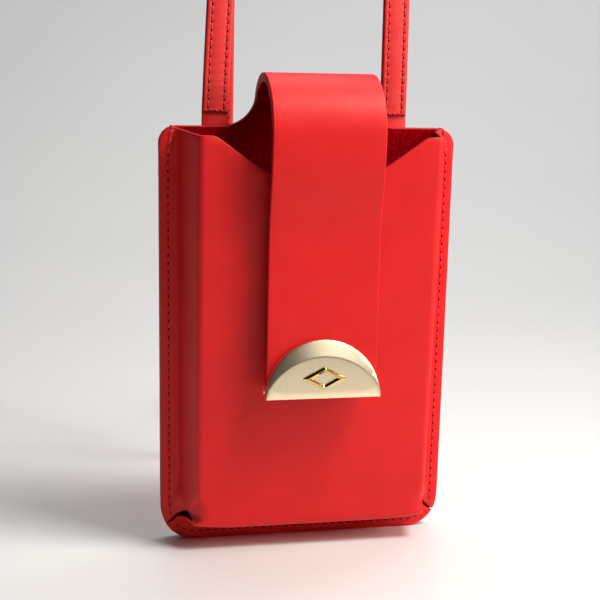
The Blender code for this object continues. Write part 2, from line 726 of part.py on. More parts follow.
def make_tabs():
    """The strap's ends behind the back panel, box-stitched to it."""
    half, corner = STRAP_WIDTH / 2, TAB_CORNER
    back = -LAYERS - GAP
    for word, (x, _, strap_end, _) in (("left", STRAP_ROUTE[0]), ("right", STRAP_ROUTE[-1])):
        right = arc((half - corner, TAB_BOTTOM + corner), corner, -math.pi / 2, 0, 4)
        right.append((half, strap_end - GAP))
        outline = [(x + dx, z) for dx, z in mirrored(right)]
        place(sheet("strap_tab_" + word, [outline], back, TAB_THICKNESS), RED_LEATHER)
        w, low = half - TAB_SEAM_MARGIN, TAB_BOTTOM + TAB_SEAM_MARGIN
        box = [(x - w, TAB_SEAM_TOP), (x - w, low), (x + w, low), (x + w, TAB_SEAM_TOP)]
        thread("tab_thread_" + word, box, back - TAB_THICKNESS - GAP - THREAD_RADIUS, closed=True)


make_back()
make_card_pocket()
make_front()
make_seams()
make_flap()
make_clasp()
make_snap()
make_strap()
make_tabs()
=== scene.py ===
import math

import bmesh
import bpy
import numpy as np
from mathutils import Matrix, Vector
from mathutils.geometry import delaunay_2d_cdt


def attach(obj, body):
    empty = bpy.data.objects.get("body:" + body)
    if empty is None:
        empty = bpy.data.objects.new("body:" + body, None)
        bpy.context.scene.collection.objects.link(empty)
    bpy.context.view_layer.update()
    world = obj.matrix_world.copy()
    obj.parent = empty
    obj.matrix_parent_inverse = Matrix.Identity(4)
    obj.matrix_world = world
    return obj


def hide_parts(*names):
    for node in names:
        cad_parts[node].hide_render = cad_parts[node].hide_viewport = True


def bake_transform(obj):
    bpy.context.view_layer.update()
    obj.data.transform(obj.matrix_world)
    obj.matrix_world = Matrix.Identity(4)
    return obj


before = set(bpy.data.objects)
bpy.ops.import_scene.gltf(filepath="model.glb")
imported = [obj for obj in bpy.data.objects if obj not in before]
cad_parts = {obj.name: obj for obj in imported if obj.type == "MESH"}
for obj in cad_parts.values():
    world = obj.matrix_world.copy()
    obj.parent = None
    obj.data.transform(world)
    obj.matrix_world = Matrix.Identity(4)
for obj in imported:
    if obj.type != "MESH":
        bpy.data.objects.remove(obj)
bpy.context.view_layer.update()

# Phone wallet case. Metres, in the row frame: +X to the right of someone facing the front, +Y to
# the back, +Z up. Sizes repeat the CAD's, apart from the bend's curve.

GAP = 0.0003

# Back panel
PANEL_HEIGHT = 0.1700
PANEL_HALF_TOP = 0.0607
PANEL_HALF_BOTTOM = 0.0593
BOTTOM_CORNER = 0.0137
TOP_CORNER = 0.0070
TONGUE_HALF = 0.0222
TONGUE_FILLET = (0.0140, 0.0120)  # across and up
TONGUE_TOP = PANEL_HEIGHT + TONGUE_FILLET[1]

POUCH_BACK_Y = 0.0150  # front face of the back lining
LAYERS = 0.0036  # lining, board and leather with their gaps
REAR_Y = POUCH_BACK_Y + LAYERS

# Moulded front
DEPTH_TOP = 0.0260  # from the back lining to the front's outer face, at PANEL_HEIGHT
DEPTH_BOTTOM = 0.0190
FRONT_TOP = 0.1676  # at the fold; it rises towards the flange
FRONT_TOP_RISE = 0.0013
FLANGE = 0.0070
SIDE_LEAN = 0.0048
BOTTOM_LEAN = 0.0026
CORNER_LIFT = 0.0015  # the bottom wall is drawn up towards the corners
LIFT_START = 0.0300
LIFT_END = 0.0480
BASE_ROUND = 0.0022
FOLD_ROUND = 0.0030
FRONT_LEATHER = 0.0017
FLANGE_DEPTH = GAP + FRONT_LEATHER
NOTCH_BOTTOM = 0.1490
NOTCH_RADIUS = 0.0500
NOTCH_SLOPE = math.radians(35.3)

# Bend and flap: two arcs over the top, then a shallow S down to a straight end
BEND_START = 0.1765
REAR_BEND = (0.0170, 0.0150)  # how far it goes forwards and up
FRONT_BEND = 0.0225
FLAP_OUTER_DEPTH = 0.0310
FLAP_BULGE = 0.0049
S_RADIUS = 0.1220
FLAP_END_Z = 0.0668

# Clasp
CHORD_Z = 0.0663
CLASP_RADIUS = 0.0230
CLASP_THICKNESS = 0.0038
FACE_RADIUS = 0.0253
FACE_CENTRE_Z = 0.0578
BEVEL_RUN = 0.0062
BEVEL_DROP = 0.0022
EDGE_SOFTNESS = 0.00025  # how gently the face turns into the bevel
EMBLEM_Z = 0.0745
EMBLEM_HALF = (0.0090, 0.0047)
EMBLEM_CORNER = 0.0007

# Stitching
PITCH = 0.00335
SEAM_MARGIN = 0.0032
SEAM_TOP_MARGIN = 0.0048
THREAD_RADIUS = 0.00026
STITCH_RISE = 0.00016
STITCH_SLANT = 0.0004
HOLE_LENGTH = 0.0014
HOLE_WIDTH = 0.00058
TAB_PITCH = 0.0029
SEWN_OVER = 3  # stitches at each end of the seam that are sewn over

# Card pocket
POCKET_HALF = 0.0460
POCKET_BOTTOM = 0.0560
POCKET_TOP = 0.1130
POCKET_CORNER = 0.0060
POCKET_LEATHER = 0.0010
POCKET_SEAM_MARGIN = 0.0025
THUMB_RADIUS = 0.0090

# Strap and its tabs
STRAP_WIDTH = 0.0108
STRAP_THICKNESS = 0.0031
STRAP_ROW = 0.0032  # from the middle line to a row of stitches
TAB_THICKNESS = 0.0016
TAB_BOTTOM = 0.1450
TAB_SEAM_TOP = 0.1660
TAB_CORNER = 0.0030

# The strap's middle line, as in the CAD: x, y, z and the roll of its width from +X towards +Z.
STRAP_ROUTE = [
    (-0.0377, 0.0197, 0.1753, 0),
    (-0.0372, 0.0197, 0.1900, 0),
    (-0.0366, 0.0197, 0.2050, 0),
    (-0.0360, 0.0197, 0.2190, 0),
    (-0.0354, 0.0203, 0.2310, 0),
    (-0.0346, 0.0247, 0.2440, 0),
    (-0.0326, 0.0355, 0.2550, 0),
    (-0.0302, 0.0500, 0.2588, 0),
    (-0.0278, 0.0645, 0.2550, 0),
    (-0.0260, 0.0752, 0.2440, 0),
    (-0.0253, 0.0797, 0.2300, 0),
    (-0.0250, 0.0815, 0.2080, 0),
    (-0.0247, 0.0832, 0.1820, 0),
    (-0.0243, 0.0858, 0.1520, 0),
    (-0.0240, 0.0895, 0.1220, 0),
    (-0.0236, 0.0945, 0.0920, 0),
    (-0.0232, 0.1010, 0.0640, 0),
    (-0.0228, 0.1095, 0.0390, 0),
    (-0.0224, 0.1205, 0.0180, 0),
    (-0.0221, 0.1350, 0.0055, 2),
    (-0.0219, 0.1520, 0.0023, 10),
    (-0.0218, 0.1690, 0.0036, 34),
    (-0.0217, 0.1850, 0.0053, 68),
    (-0.0213, 0.2010, 0.0057, 88),
    (-0.0180, 0.2180, 0.0057, 90),
    (-0.0080, 0.2340, 0.0057, 90),
    (0.0080, 0.2430, 0.0057, 90),
    (0.0250, 0.2425, 0.0057, 90),
    (0.0400, 0.2330, 0.0057, 90),
    (0.0490, 0.2170, 0.0057, 90),
    (0.0510, 0.2000, 0.0057, 92),
    (0.0512, 0.1840, 0.0053, 112),
    (0.0513, 0.1680, 0.0036, 146),
    (0.0515, 0.1510, 0.0023, 170),
    (0.0518, 0.1345, 0.0055, 178),
    (0.0522, 0.1205, 0.0180, 180),
    (0.0526, 0.1095, 0.0390, 180),
    (0.0531, 0.1010, 0.0640, 180),
    (0.0536, 0.0945, 0.0920, 180),
    (0.0540, 0.0895, 0.1220, 180),
    (0.0544, 0.0858, 0.1520, 180),
    (0.0544, 0.0832, 0.1820, 180),
    (0.0543, 0.0815, 0.2080, 180),
    (0.0541, 0.0797, 0.2300, 180),
    (0.0528, 0.0752, 0.2440, 180),
    (0.0496, 0.0645, 0.2550, 180),
    (0.0452, 0.0500, 0.2588, 180),
    (0.0408, 0.0355, 0.2550, 180),
    (0.0376, 0.0247, 0.2440, 180),
    (0.0363, 0.0203, 0.2310, 180),
    (0.0361, 0.0197, 0.2190, 180),
    (0.0361, 0.0197, 0.2050, 180),
    (0.0361, 0.0197, 0.1900, 180),
    (0.0361, 0.0197, 0.1747, 180),
]


# --- Materials ------------------------------------------------------------------------------


class Surface:
    """A Principled material and short calls for the nodes that vary over it."""

    def __init__(self, name, roughness, metallic=0.0, **constants):
        self.material = bpy.data.materials.new(name)
        self.material.use_nodes = True
        self.tree = self.material.node_tree
        self.shader = self.tree.nodes["Principled BSDF"]
        self.shader.inputs["Roughness"].default_value = roughness
        self.shader.inputs["Metallic"].default_value = metallic
        for socket, value in constants.items():
            self.shader.inputs[socket.replace("_", " ")].default_value = value

    def node(self, kind, **sockets):
        made = self.tree.nodes.new("ShaderNode" + kind)
        for socket, value in sockets.items():
            made.inputs[socket].default_value = value
        return made

    def link(self, a, b):
        self.tree.links.new(a, b)

    def place(self, kind="Object", scale=(1, 1, 1), turn=0.0):
        """Texture coordinates, stretched."""
        where = self.node("TexCoord")
        stretch = self.node("Mapping", Scale=scale, Rotation=(0, 0, turn))
        self.link(where.outputs[kind], stretch.inputs["Vector"])
        return stretch.outputs["Vector"]

    def noise(self, scale, detail=3.0, at=None, roughness=0.5):
        made = self.node("TexNoise", Scale=scale, Detail=detail, Roughness=roughness)
        self.link(at or self.place(), made.inputs["Vector"])
        return made.outputs["Fac"]

    def cells(self, scale, at=None):
        made = self.node("TexVoronoi", Scale=scale)
        made.feature = "SMOOTH_F1"
        self.link(at or self.place(), made.inputs["Vector"])
        return made.outputs["Distance"]

    def ramp(self, factor, stops):
        made = self.node("ValToRGB")
        band = made.color_ramp
        while len(band.elements) < len(stops):
            band.elements.new(0.5)
        for element, (position, colour) in zip(band.elements, stops):
            element.position = position
            element.color = (*colour, 1.0)
        self.link(factor, made.inputs["Fac"])
        return made.outputs["Color"]

    def colour(self, factor, stops):
        self.link(self.ramp(factor, stops), self.shader.inputs["Base Color"])

    def gloss(self, factor, low, high):
        span = self.node("MapRange")
        span.inputs["To Min"].default_value = low
        span.inputs["To Max"].default_value = high
        self.link(factor, span.inputs["Value"])
        self.link(span.outputs["Result"], self.shader.inputs["Roughness"])

    def bump(self, *layers):
        """layers are (height, strength, distance in metres), the largest forms first."""
        normal = None
        for height, strength, distance in layers:
            made = self.node("Bump", Strength=strength, Distance=distance)
            self.link(height, made.inputs["Height"])
            if normal:
                self.link(normal, made.inputs["Normal"])
            normal = made.outputs["Normal"]
        self.link(normal, self.shader.inputs["Normal"])
        return self.material


def make_leather():
    """Smooth calf with a fine grain, faint cloudy variation and a satin sheen."""
    skin = Surface("red_leather", 0.5, Specular_IOR_Level=0.35)
    skin.colour(skin.noise(55, 3), [(0.30, (0.710, 0.0065, 0.0075)), (0.72, (0.780, 0.0090, 0.0095))])
    skin.gloss(skin.noise(420, 4), 0.44, 0.56)
    return skin.bump(
        (skin.noise(70, 2), 0.10, 0.0015),
        (skin.cells(2300), 0.16, 0.00012),
        (skin.noise(5200, 3), 0.14, 0.00008),
    )


def make_strap_leather():
    """The same leather on the strap, with fine slanting wrinkles across it, coloured lighter and more
    orange than the case's as painted light for the brighter light on the strap.
    """
    skin = Surface("red_strap_leather", 0.45, Specular_IOR_Level=0.55)
    wrinkles = skin.noise(1.0, 3, skin.place("UV", (160, 1250, 1), math.radians(24)))
    # lighter, warmer base than the case's leather: painted light
    skin.colour(skin.noise(60, 3), [(0.30, (0.800, 0.0240, 0.0210)), (0.72, (0.880, 0.0380, 0.0320))])
    skin.gloss(wrinkles, 0.42, 0.58)
    return skin.bump((wrinkles, 0.35, 0.00022), (skin.cells(2300), 0.16, 0.00012))


def make_suede():
    """The matte nap of the lining."""
    nap = Surface("red_suede", 0.95, Specular_IOR_Level=0.0)
    nap.colour(nap.noise(800, 5), [(0.36, (0.190, 0.0003, 0.0020)), (0.64, (0.420, 0.0010, 0.0070))])
    return nap.bump((nap.noise(1100, 5), 0.9, 0.0005), (nap.noise(6000, 3), 0.6, 0.00015))


def make_edge_paint():
    """Painted, rounded edges, slightly uneven."""
    paint = Surface("painted_edge", 0.48, Specular_IOR_Level=0.2)
    paint.colour(paint.noise(350, 3), [(0.3, (0.36, 0.0035, 0.0065)), (0.7, (0.50, 0.0055, 0.0085))])
    paint.gloss(paint.noise(600, 3), 0.40, 0.58)
    return paint.bump((paint.noise(500, 3), 0.25, 0.0004), (paint.noise(2500, 2), 0.15, 0.0001))


def make_thread():
    """Waxed twisted thread."""
    strand = Surface("red_thread", 0.5, Specular_IOR_Level=0.2)
    strand.colour(strand.noise(1600, 3), [(0.3, (0.56, 0.0220, 0.0450)), (0.7, (0.78, 0.0700, 0.1000))])
    return strand.bump((strand.noise(3200, 3, strand.place(scale=(1, 1, 0.5))), 0.7, 0.00025))


def make_hole_shade():
    """Painted shade for the needle holes between stitches: near black, standing in for the shade inside
    each hole.
    """
    hole = Surface("needle_hole_shade", 0.9, Specular_IOR_Level=0.05)
    hole.colour(hole.noise(2500, 2), [(0.3, (0.010, 0.0003, 0.0005)), (0.7, (0.030, 0.0006, 0.0010))])
    return hole.bump((hole.noise(2500, 2), 0.4, 0.0002))


def make_gold():
    """Champagne gold, brushed up and down."""
    metal = Surface("brushed_gold", 0.3, 1.0)
    brushing = metal.noise(1.0, 3, metal.place(scale=(5200, 5200, 160)))
    metal.colour(brushing, [(0.2, (0.950, 0.770, 0.510)), (0.8, (1.000, 0.860, 0.610))])
    metal.gloss(brushing, 0.24, 0.40)
    return metal.bump((brushing, 0.16, 0.00006))


def make_polished_gold():
    """The emblem's polished, deeper gold."""
    metal = Surface("polished_gold", 0.12, 1.0)
    metal.colour(metal.noise(220, 2), [(0.3, (0.760, 0.510, 0.180)), (0.7, (0.830, 0.600, 0.260))])
    metal.gloss(metal.noise(900, 3), 0.08, 0.17)
    return metal.bump((metal.noise(700, 2), 0.05, 0.0002))


def make_steel():
    """Nickel-plated snap and screws."""
    metal = Surface("nickel_steel", 0.3, 1.0)
    metal.colour(metal.noise(300, 3), [(0.3, (0.56, 0.55, 0.53)), (0.7, (0.66, 0.65, 0.63))])
    metal.gloss(metal.noise(1800, 3), 0.20, 0.38)
    return metal.bump((metal.noise(2600, 2), 0.12, 0.0001))


LEATHER = make_leather()
STRAP_LEATHER = make_strap_leather()
SUEDE = make_suede()
EDGE = make_edge_paint()
THREAD = make_thread()
HOLE_SHADE = make_hole_shade()
GOLD = make_gold()
POLISHED = make_polished_gold()
STEEL = make_steel()


# --- Mesh helpers ---------------------------------------------------------------------------


def add(name, body, surfaces, rides, stands_for=(), smooth=True):
    """A piece from a bmesh, on its body, in place of the CAD nodes it stands for."""
    bmesh.ops.recalc_face_normals(body, faces=body.faces)
    mesh = bpy.data.meshes.new(name)
    body.to_mesh(mesh)
    body.free()
    obj = bpy.data.objects.new(name, mesh)
    bpy.context.scene.collection.objects.link(obj)
    for surface in surfaces:
        mesh.materials.append(surface)
    if smooth:
        mesh.shade_smooth()
    if rides:
        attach(obj, rides)
    if stands_for:
        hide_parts(*stands_for)
    return obj


def ellipse(centre, radii, start, end, steps):
    """Points along an elliptical arc, its angles in radians from +X towards +Z."""
    turns = [start + (end - start) * step / steps for step in range(steps + 1)]
    return [(centre[0] + radii[0] * math.cos(a), centre[1] + radii[1] * math.sin(a)) for a in turns]


def arc(centre, radius, start, end, steps):
    return ellipse(centre, (radius, radius), start, end, steps)


def mirrored(half):
    """A closed outline from its half at +X, which runs from the bottom to the top."""
    return half + [(-x, z) for x, z in reversed(half)]


def spaced(points, step, closed=False):
    """Points at even steps along a line, its ends kept."""
    line = [Vector(p) for p in points]
    if closed:
        line.append(line[0])
    lengths = [0.0]
    for a, b in zip(line, line[1:]):
        lengths.append(lengths[-1] + (b - a).length)
    count = max(2, round(lengths[-1] / step))
    found, k = [], 0
    for n in range(count if closed else count + 1):
        want = lengths[-1] * n / count
        while k < len(line) - 2 and lengths[k + 1] < want:
            k += 1
        share = (want - lengths[k]) / max(lengths[k + 1] - lengths[k], 1e-12)
        found.append(line[k].lerp(line[k + 1], share))
    return found


def inset(outline, distance):
    """A closed counterclockwise outline moved inward."""
    moved = []
    count = len(outline)
    for k, point in enumerate(outline):
        before, here, after = Vector(outline[k - 1]), Vector(point), Vector(outline[(k + 1) % count])
        a, b = (here - before).normalized(), (after - here).normalized()
        left_a, left_b = Vector((-a.y, a.x)), Vector((-b.y, b.x))
        middle = left_a + left_b
        reach = max(middle.length_squared / 2, 0.35)
        moved.append(here + middle * (distance / reach))
    return moved


def inside(points, outline, margin):
    """Those of the points that lie inside the outline by at least the margin."""
    p = np.array([tuple(q)[:2] for q in points], float).reshape(-1, 2)
    a = np.array([tuple(q)[:2] for q in outline], float)
    b = np.roll(a, -1, axis=0)
    crossings = np.zeros(len(p), int)
    near = np.full(len(p), 1e9)
    for (ax, az), (bx, bz) in zip(a, b):
        straddles = (p[:, 1] > az) != (p[:, 1] > bz)
        where = ax + (p[:, 1] - az) * (bx - ax) / ((bz - az) or 1e-12)
        crossings += straddles & (p[:, 0] < where)
        edge = np.array((bx - ax, bz - az))
        t = np.clip(((p - (ax, az)) @ edge) / max(edge @ edge, 1e-18), 0, 1)
        near = np.minimum(near, np.hypot(*(p - (ax, az) - t[:, None] * edge).T))
    keep = (crossings % 2 == 1) & (near > margin)
    return [Vector(q) for q, k in zip(p, keep) if k]


def grid(x_step, z_step, low, high, half):
    """Points in rows from low to high, each from -half to half."""
    rows = max(1, round((high - low) / z_step))
    columns = max(1, round(2 * half / x_step))
    return [
        (-half + 2 * half * c / columns, low + (high - low) * r / rows)
        for r in range(rows + 1)
        for c in range(columns + 1)
    ]


def slab(name, outline, points, front, back, rim, surfaces, rides, stands_for=(), creases=()):
    """A closed sheet over a flat outline. front and back turn a flat point into a place. rim lists
    (inset, share of the way through, surface) round the edge from the front to the back. creases are
    lines of flat points that edges of the mesh must follow."""
    body = bmesh.new()
    count = len(outline)
    loops = []
    for distance, share, _ in rim:
        flat = inset(outline, distance)
        loops.append((flat, [body.verts.new(front(p).lerp(back(p), share)) for p in flat]))
    for (_, a), (_, b), (_, _, surface) in zip(loops, loops[1:], rim[1:]):
        for k in range(count):
            j = (k + 1) % count
            body.faces.new((a[k], a[j], b[j], b[k])).material_index = surface
    for (flat, ring), place, surface in ((loops[0], front, 0), (loops[-1], back, len(surfaces) - 1)):
        extra = inside(points, flat, 0.0003)
        constraints = [(k, (k + 1) % count) for k in range(count)]
        known = list(flat) + extra
        for crease in creases:
            run = inside(crease, flat, 0.0003)
            constraints += [(len(known) + k, len(known) + k + 1) for k in range(len(run) - 1)]
            known += run
        made, _, faces, origin, _, _ = delaunay_2d_cdt(known, constraints, [], 1, 1e-7)
        corners = []
        for point, source in zip(made, origin):
            edge = [s for s in source if s < count]
            corners.append(ring[edge[0]] if edge else body.verts.new(place(point)))
        for face in faces:
            loop = [corners[k] for k in face]
            if len(set(loop)) == len(loop):
                body.faces.new(loop).material_index = surface
    loose = [v for v in body.verts if not v.link_faces]
    bmesh.ops.delete(body, geom=loose, context="VERTS")
    return add(name, body, surfaces, rides, stands_for)


def tube(body, line, radius, sides=6, surface=0):
    """A capped thread along a line of points."""
    rings = []
    up = None
    for k, point in enumerate(line):
        way = (line[min(k + 1, len(line) - 1)] - line[max(k - 1, 0)]).normalized()
        side = way.orthogonal().normalized() if up is None else (up - way * up.dot(way)).normalized()
        up = side
        other = way.cross(side)
        ring = []
        for n in range(sides):
            turn = 2 * math.pi * n / sides
            ring.append(body.verts.new(point + (side * math.cos(turn) + other * math.sin(turn)) * radius))
        rings.append(ring)
    for a, b in zip(rings, rings[1:]):
        for n in range(sides):
            m = (n + 1) % sides
            body.faces.new((a[n], a[m], b[m], b[n])).material_index = surface
    body.faces.new(reversed(rings[0])).material_index = surface
    body.faces.new(rings[-1]).material_index = surface


def stitch(body, a, b, normal, radius, rise, slant=0.0, reach=0.17, sides=6, bend=5):
    """One stitch from hole a to hole b: it comes up out of one and goes down into the other."""
    side = (b - a).cross(normal).normalized() * slant
    line = []
    for k in range(bend + 1):
        share = k / bend
        along = reach + (1 - 2 * reach) * share
        lift = math.sin(math.pi * share) ** 0.55 if 0 < k < bend else 0.0
        height = rise * lift - 1.3 * radius * (1 - lift)
        line.append(a.lerp(b, along) + normal * height + side * (share - 0.5))
    tube(body, line, radius, sides)


def hole(body, centre, along, normal, length, width, surface=1, sides=8):
    """A small hollow between two stitches, coloured with the painted shade of its inside."""
    across = along.cross(normal).normalized()
    rim, floor = [], []
    for n in range(sides):
        turn = 2 * math.pi * n / sides
        flat = along * math.cos(turn) * length / 2 + across * math.sin(turn) * width / 2
        rim.append(body.verts.new(centre + flat + normal * 0.00003))
        floor.append(body.verts.new(centre + flat * 0.6 - normal * 0.0006))
    for n in range(sides):
        m = (n + 1) % sides
        body.faces.new((rim[n], rim[m], floor[m], floor[n])).material_index = surface
    body.faces.new(floor).material_index = surface
    body.faces.new(list(reversed(rim))).material_index = surface


def stitch_row(body, holes, normal, thick=()):
    """A row of stitches and the holes between them. thick are the stitches that are sewn over."""
    radius, rise, slant = THREAD_RADIUS, STITCH_RISE, STITCH_SLANT
    for k, (a, b) in enumerate(zip(holes, holes[1:])):
        if k in thick:
            stitch(body, a, b, normal, radius * 1.9, rise * 3.5, slant * 2.4, reach=0.08, sides=8)
        else:
            stitch(body, a, b, normal, radius, rise, slant)
    for k, here in enumerate(holes):
        along = (holes[min(k + 1, len(holes) - 1)] - holes[max(k - 1, 0)]).normalized()
        hole(body, here, along, normal, HOLE_LENGTH, HOLE_WIDTH)


# --- Strap ----------------------------------------------------------------------------------


def smooth_route(route, step):
    """Evenly spaced points of a smooth curve through the route, roll included."""
    dense = []
    ends = [route[0]] + list(route) + [route[-1]]
    parts = 24
    for k in range(1, len(ends) - 2):
        a, b, c, d = (Vector(p) for p in ends[k - 1 : k + 3])
        for part in range(parts):
            t = part / parts
            bend = (2 * a - 5 * b + 4 * c - d) * t**2 + (3 * b - a - 3 * c + d) * t**3
            dense.append(0.5 * (2 * b + (c - a) * t + bend))
    dense.append(Vector(route[-1]))
    lengths = [0.0]
    for a, b in zip(dense, dense[1:]):
        lengths.append(lengths[-1] + (b.to_3d() - a.to_3d()).length)
    stations = round(lengths[-1] / step) + 1
    found, k = [], 0
    for station in range(stations):
        want = lengths[-1] * station / (stations - 1)
        while k < len(dense) - 2 and lengths[k + 1] < want:
            k += 1
        share = (want - lengths[k]) / max(lengths[k + 1] - lengths[k], 1e-9)
        found.append(dense[k].lerp(dense[k + 1], share))
    return found, lengths[-1]


def strap_frames(points):
    """(middle, across, through) at each station: across runs along the strap's width."""
    frames = []
    for k, point in enumerate(points):
        ahead = points[min(k + 1, len(points) - 1)].to_3d()
        behind = points[max(k - 1, 0)].to_3d()
        way = (ahead - behind).normalized()
        roll = math.radians(point.w)
        across = Vector((math.cos(roll), 0, math.sin(roll)))
        across = (across - way * across.dot(way)).normalized()
        frames.append((point.to_3d(), across, way.cross(across)))
    return frames


def strap_section(dimple):
    """Across and through: two layers, a seam along the edges and a trough under each stitch row."""
    w, t = STRAP_WIDTH / 2, STRAP_THICKNESS / 2
    quarter = [
        (w - 0.00010, 0.0),
        (w, 0.00025),
        (w - 0.00005, 0.00075),
        (w - 0.00030, t - 0.00025),
        (w - 0.00080, t),
        (STRAP_ROW + 0.00055, t),
        (STRAP_ROW, t - 0.00013 - dimple),
        (STRAP_ROW - 0.00055, t),
        (0.0, t + 0.00004),
    ]
    upper = quarter + [(-a, b) for a, b in reversed(quarter[:-1])]
    return upper + [(a, -b) for a, b in reversed(upper[1:-1])]


def sew_strap(frames, per_stitch):
    """Two rows of stitches on each face of the strap, joined by a row across each end."""
    sewing = bmesh.new()
    lift = STRAP_THICKNESS / 2 - 0.00010
    for face_side in (1, -1):
        for row in (-STRAP_ROW, STRAP_ROW):
            holes, normals = [], []
            for k in range(2, len(frames), per_stitch):
                middle, across, through = frames[k]
                holes.append(middle + across * row + through * lift * face_side)
                normals.append(through * face_side)
            for a, b, normal in zip(holes, holes[1:], normals):
                stitch(sewing, a, b, normal, 0.00027, 0.00018, STITCH_SLANT, reach=0.18, sides=5, bend=4)
                hole(sewing, a, (b - a).normalized(), normal, HOLE_LENGTH, 0.0006, sides=6)
        for station in (1, len(frames) - 2):
            middle, across, through = frames[station]
            places = [STRAP_ROW * share for share in (-1, -0.33, 0.33, 1)]
            row = [middle + across * place + through * lift * face_side for place in places]
            for a, b in zip(row, row[1:]):
                stitch(sewing, a, b, through * face_side, 0.00030, 0.00020, STITCH_SLANT, reach=0.12)
    return add("strap_stitches", sewing, (THREAD, HOLE_SHADE), "root")


def make_strap():
    per_stitch = 4
    points, length = smooth_route(STRAP_ROUTE, PITCH / per_stitch)
    frames = strap_frames(points)
    body = bmesh.new()
    uv = body.loops.layers.uv.new("strap")
    rings = []
    for k, (middle, across, through) in enumerate(frames):
        section = strap_section(0.0003 if k % per_stitch == 2 else 0.0)
        rings.append([body.verts.new(middle + across * a + through * b) for a, b in section])
    count = len(section)
    step = length / (len(frames) - 1)
    for k, (a, b) in enumerate(zip(rings, rings[1:])):
        for n in range(count):
            m = (n + 1) % count
            face = body.faces.new((a[n], a[m], b[m], b[n]))
            broad = abs(section[n][1]) + abs(section[m][1]) > STRAP_THICKNESS * 0.8
            face.material_index = 0 if broad else 1
            corners = ((n, k), (m, k), (m, k + 1), (n, k + 1))
            for loop, (place, station) in zip(face.loops, corners):
                loop[uv].uv = (section[place][0], station * step)
    body.faces.new(reversed(rings[0])).material_index = 1
    body.faces.new(rings[-1]).material_index = 1
    strap = add("strap_body", body, (STRAP_LEATHER, EDGE), "root", ["shoulder_strap"])
    stitches = sew_strap(frames, per_stitch)


# --- Back panel, bend and flap --------------------------------------------------------------


def panel_half(z):
    """Half the back panel's width at height z."""
    return PANEL_HALF_BOTTOM + (PANEL_HALF_TOP - PANEL_HALF_BOTTOM) * z / PANEL_HEIGHT


def strip_parts():
    """The strip's side view past the bend's start: (length, centre, radii, start, end), the radii
    negative where the arc is hollow outside."""
    rear = (REAR_Y - REAR_BEND[0], BEND_START)
    front = (rear[0], BEND_START + REAR_BEND[1] - FRONT_BEND)
    rear_length = math.pi / 2 * math.hypot(*REAR_BEND) / math.sqrt(2)
    turn = math.acos(1 - FLAP_BULGE / (2 * S_RADIUS))
    upper = (front[0] - FRONT_BEND + S_RADIUS, front[1])
    away = math.pi + turn
    lower = (upper[0] + 2 * S_RADIUS * math.cos(away), upper[1] + 2 * S_RADIUS * math.sin(away))
    return [
        (rear_length, rear, REAR_BEND, 0.0, math.pi / 2),
        (FRONT_BEND * math.pi / 2, front, (FRONT_BEND, FRONT_BEND), math.pi / 2, math.pi),
        (S_RADIUS * turn, upper, (S_RADIUS, S_RADIUS), math.pi, away),
        (S_RADIUS * turn, lower, (-S_RADIUS, -S_RADIUS), turn, 0.0),
    ]


STRIP_PARTS = strip_parts()
STRIP_CURVED = sum(part[0] for part in STRIP_PARTS)
LAST_CENTRE, LAST_RADII = STRIP_PARTS[-1][1], STRIP_PARTS[-1][2]
STRAIGHT_Y = LAST_CENTRE[0] - LAST_RADII[0]
STRIP_LENGTH = BEND_START + STRIP_CURVED + LAST_CENTRE[1] - FLAP_END_Z


def on_strip(point, inward):
    """A place on the strip: point is across and along it, measured on its outer face."""
    x, along = point
    if along <= BEND_START:
        return Vector((x, REAR_Y - inward, along))
    left = along - BEND_START
    for length, centre, radii, start, end in STRIP_PARTS:
        if left <= length:
            angle = start + (end - start) * left / length
            y, z = (abs(radius - inward) for radius in radii)
            return Vector((x, centre[0] + y * math.cos(angle), centre[1] + z * math.sin(angle)))
        left -= length
    return Vector((x, STRAIGHT_Y + inward, LAST_CENTRE[1] - left))


def make_strip():
    """Back panel, tongue, bend and flap as one sheet, leather outside and suede inside."""
    low, high, end = BOTTOM_CORNER, TOP_CORNER, 0.0012
    half = arc((PANEL_HALF_BOTTOM - low, low), low, -math.pi / 2, 0, 14)
    half += [(panel_half(z), z) for z in np.linspace(0.020, 0.158, 24)]
    half += arc((PANEL_HALF_TOP - high, PANEL_HEIGHT - high), high, 0, math.pi / 2, 10)
    half += [(x, PANEL_HEIGHT) for x in (0.050, 0.046, 0.042, 0.039)]
    fillet_centre = (TONGUE_HALF + TONGUE_FILLET[0], TONGUE_TOP)
    half += ellipse(fillet_centre, TONGUE_FILLET, 1.5 * math.pi, math.pi, 14)
    rows = 90
    span = STRIP_LENGTH - end - TONGUE_TOP
    half += [(TONGUE_HALF, TONGUE_TOP + span * k / rows) for k in range(1, rows)]
    half += arc((TONGUE_HALF - end, STRIP_LENGTH - end), end, 0, math.pi / 2, 4)
    outline = mirrored(half)
    points = grid(0.0075, 0.0075, 0.004, 0.166, 0.056)
    points += grid(0.0037, 0.0018, 0.170, 0.256, 0.0185)
    points += grid(0.0037, 0.0040, 0.2585, STRIP_LENGTH - 0.004, 0.0185)
    rim = [
        (0.00160, 0.0, 0),
        (0.00125, 0.0, 0),
        (0.00105, 0.012, 0),
        (0.00090, 0.012, 0),
        (0.00070, 0.0, 0),
        (0.00030, 0.010, 0),
        (0.00010, 0.05, 0),
        (0.0, 0.12, 0),
        (0.0, 0.32, 1),
        (0.0, 0.44, 1),
        (0.00012, 0.49, 1),
        (0.0, 0.54, 1),
        (0.0, 0.80, 1),
        (0.00015, 0.92, 1),
        (0.00045, 1.0, 1),
        (0.00080, 1.0, 2),
    ]
    strip = slab(
        "case_strip",
        outline,
        points,
        lambda p: on_strip(p, 0.0),
        lambda p: on_strip(p, LAYERS),
        rim,
        (LEATHER, EDGE, SUEDE),
        None,
        [
            "back_panel",
            "back_lining",
            "back_stiffener",
            "flap_bend",
            "bend_lining",
            "flap_panel",
            "flap_lining",
            "flap_stiffener",
        ],
    )
    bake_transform(strip)


# --- Moulded front --------------------------------------------------------------------------


